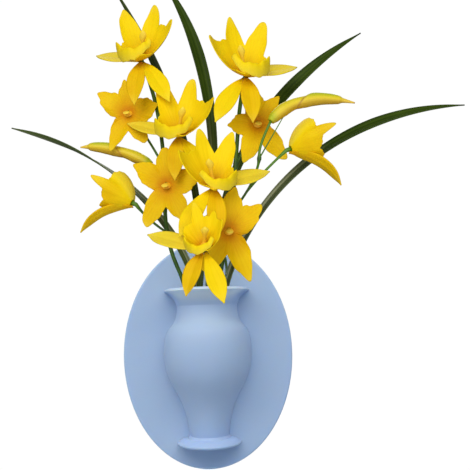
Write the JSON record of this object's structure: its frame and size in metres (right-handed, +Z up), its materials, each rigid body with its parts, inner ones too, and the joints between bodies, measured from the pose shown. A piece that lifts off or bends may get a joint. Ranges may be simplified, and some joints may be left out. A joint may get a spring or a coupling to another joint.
{
  "type": "hanging wall vase",
  "caption": "Soft half vase on an oval plate that sticks flat to a wall, holding removable artificial orchid sprays in its pocket.",
  "frame": {"origin": "centre of the oval plate, on the wall face of the gel pad", "axes": "+Z up, +Y into the wall, so the vase faces -Y, and +X to the right as seen from the room"},
  "size_m": [0.3772, 0.1106, 0.4143],
  "materials": {
    "silicone": "pale blue matte silicone",
    "gel": "clear sticky gel",
    "stem": "satin green moulded stem",
    "sleeve": "matte green wrap",
    "leaf": "satin dark green",
    "sepal": "soft yellow, lightly veined",
    "petal": "soft yellow, lightly veined",
    "lip": "soft golden yellow",
    "bud": "yellow shading to green"
  },
  "bodies": {
    "wall_vase": {"adhesive_pad": "gel", "backing_plate": "silicone", "vase_front": "silicone"},
    "left_spray": {"left_bloom_1_lip": "lip", "left_bloom_1_petals": "petal", "left_bloom_1_sepals": "sepal", "left_bloom_2_lip": "lip", "left_bloom_2_petals": "petal", "left_bloom_2_sepals": "sepal", "left_bloom_3_lip": "lip", "left_bloom_3_petals": "petal", "left_bloom_3_sepals": "sepal", "left_bloom_4_lip": "lip", "left_bloom_4_petals": "petal", "left_bloom_4_sepals": "sepal", "left_bloom_5_lip": "lip", "left_bloom_5_petals": "petal", "left_bloom_5_sepals": "sepal", "left_bud": "bud", "left_leaf_low": "leaf", "left_leaf_tall": "leaf", "left_spike_stem": "stem", "left_stem_sleeve": "sleeve"},
    "right_spray": {"right_bloom_1_lip": "lip", "right_bloom_1_petals": "petal", "right_bloom_1_sepals": "sepal", "right_bloom_2_lip": "lip", "right_bloom_2_petals": "petal", "right_bloom_2_sepals": "sepal", "right_bloom_3_lip": "lip", "right_bloom_3_petals": "petal", "right_bloom_3_sepals": "sepal", "right_bloom_4_lip": "lip", "right_bloom_4_petals": "petal", "right_bloom_4_sepals": "sepal", "right_bloom_5_lip": "lip", "right_bloom_5_petals": "petal", "right_bloom_5_sepals": "sepal", "right_bloom_6_lip": "lip", "right_bloom_6_petals": "petal", "right_bloom_6_sepals": "sepal", "right_bud": "bud", "right_leaf_high": "leaf", "right_leaf_low": "leaf", "right_leaf_tall": "leaf", "right_spike_stem": "stem", "right_stem_sleeve": "sleeve"}
  },
  "joints": [
    {"name": "left_spray_lift", "type": "slide", "parent": "wall_vase", "child": "left_spray", "axis": [0, 0, 1], "range_m": [0, 0.125]},
    {"name": "right_spray_lift", "type": "slide", "parent": "wall_vase", "child": "right_spray", "axis": [0, 0, 1], "range_m": [0, 0.125]}
  ]
}
